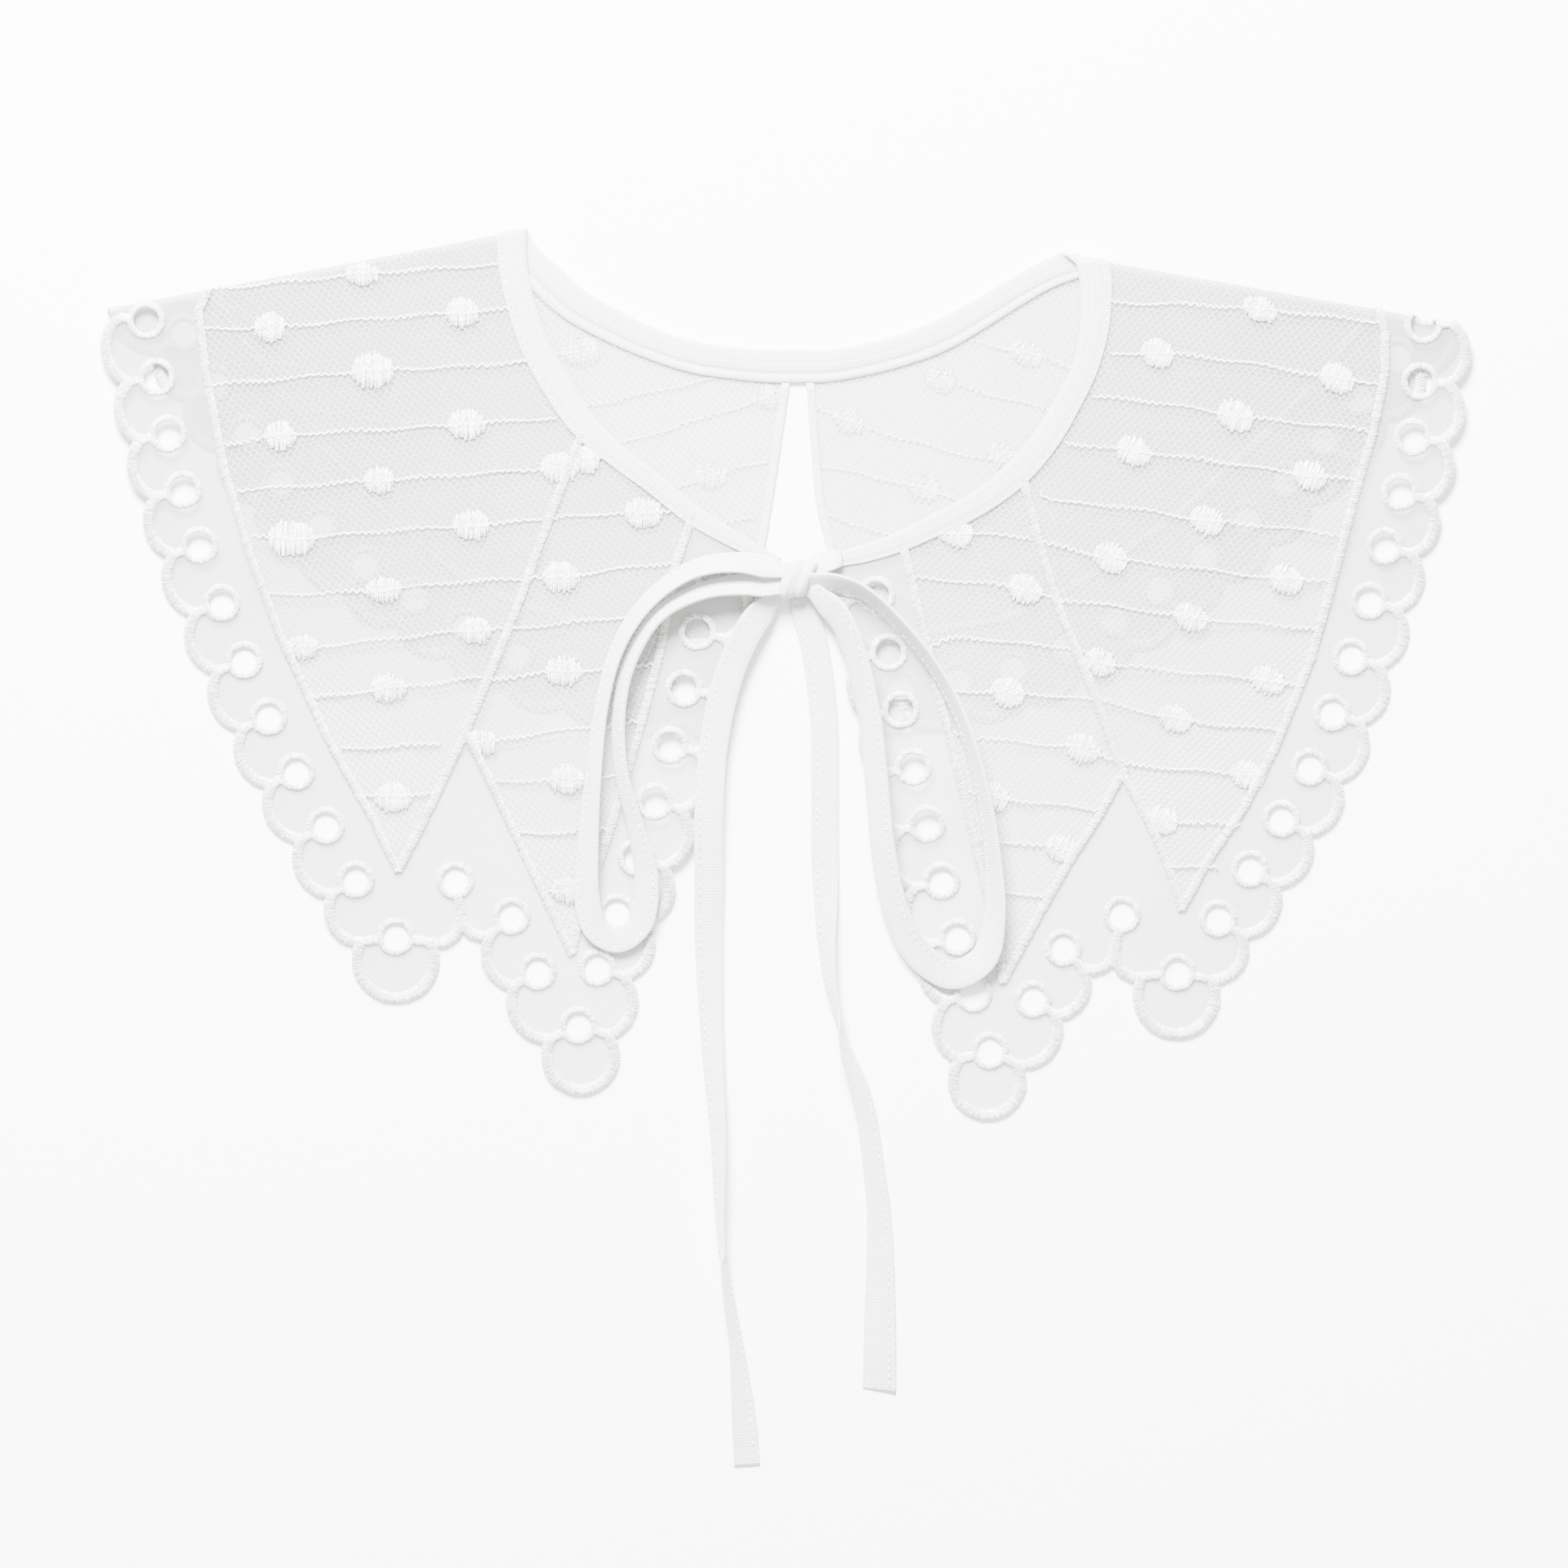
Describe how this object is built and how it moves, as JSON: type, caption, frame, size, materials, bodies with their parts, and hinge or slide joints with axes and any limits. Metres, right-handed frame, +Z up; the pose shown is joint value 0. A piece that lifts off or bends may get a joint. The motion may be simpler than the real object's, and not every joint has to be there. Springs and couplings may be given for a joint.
{
  "type": "peter pan collar",
  "caption": "Detachable peter pan collar of embroidered tulle with pierced scalloped edges, folded flat at the shoulders, its neck binding tied in a bow.",
  "frame": {"origin": "on the floor under the middle of the collar without its loose ties", "axes": "+X to the right and +Y towards the centre back of the neck, as seen from above; +Z up from the surface the collar lies on"},
  "size_m": [0.4694, 0.4261, 0.0143],
  "materials": {
    "tulle": "sheer hexagonal net",
    "organza": "sheer plain weave with satin stitched edge",
    "thread": "satin stitch",
    "tape": "fine ribbed bias tape"
  },
  "bodies": {
    "root": {"left_outer_tulle": "tulle", "right_outer_tulle": "tulle", "left_inner_tulle": "tulle", "right_inner_tulle": "tulle", "left_scalloped_border": "organza", "right_scalloped_border": "organza", "left_seam_cords": "thread", "right_seam_cords": "thread", "left_slit_hem": "tape", "right_slit_hem": "tape", "neck_binding": "tape", "bow_knot": "tape", "tie_left_loop": "tape", "tie_right_loop": "tape", "tie_left_tail": "tape", "tie_right_tail": "tape"}
  },
  "joints": []
}
